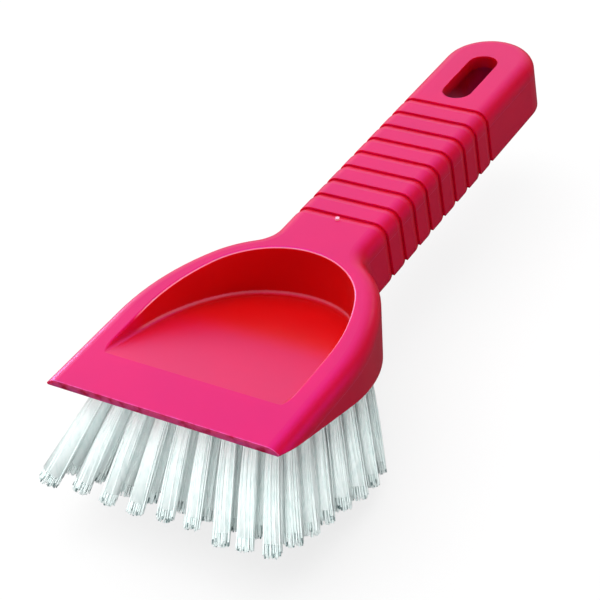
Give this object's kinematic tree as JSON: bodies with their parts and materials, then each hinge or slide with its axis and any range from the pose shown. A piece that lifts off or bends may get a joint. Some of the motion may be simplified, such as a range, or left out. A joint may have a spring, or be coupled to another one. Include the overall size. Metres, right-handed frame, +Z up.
{
  "type": "grout brush",
  "caption": "Hand-held grout brush: one-piece ribbed handle and D-shaped block with a scooped top and thin straight lip, stiff splayed bristle tufts in its sloping underside.",
  "frame": {"origin": "middle of the straight lip's upper front edge, on the brush's plane of symmetry", "axes": "+Y from the lip along the brush to the handle's end, +Z up out of the flat top face, +X across the brush to the right seen from above with the handle pointing away"},
  "size_m": [0.0916, 0.2401, 0.0534],
  "materials": {
    "moulded_plastic": "injection moulded, satin gloss",
    "bristle_nylon": "translucent cool white filament, cut tips",
    "anchor_steel": "flat cut wire"
  },
  "bodies": {
    "root": {"body_moulding": "moulded_plastic", "tuft_row_1": "bristle_nylon", "tuft_row_2": "bristle_nylon", "tuft_row_3": "bristle_nylon", "tuft_row_4": "bristle_nylon", "tuft_row_5": "bristle_nylon", "tuft_row_6": "bristle_nylon", "tuft_row_7": "bristle_nylon", "tuft_row_8": "bristle_nylon", "staple_anchors": "anchor_steel"}
  },
  "joints": []
}
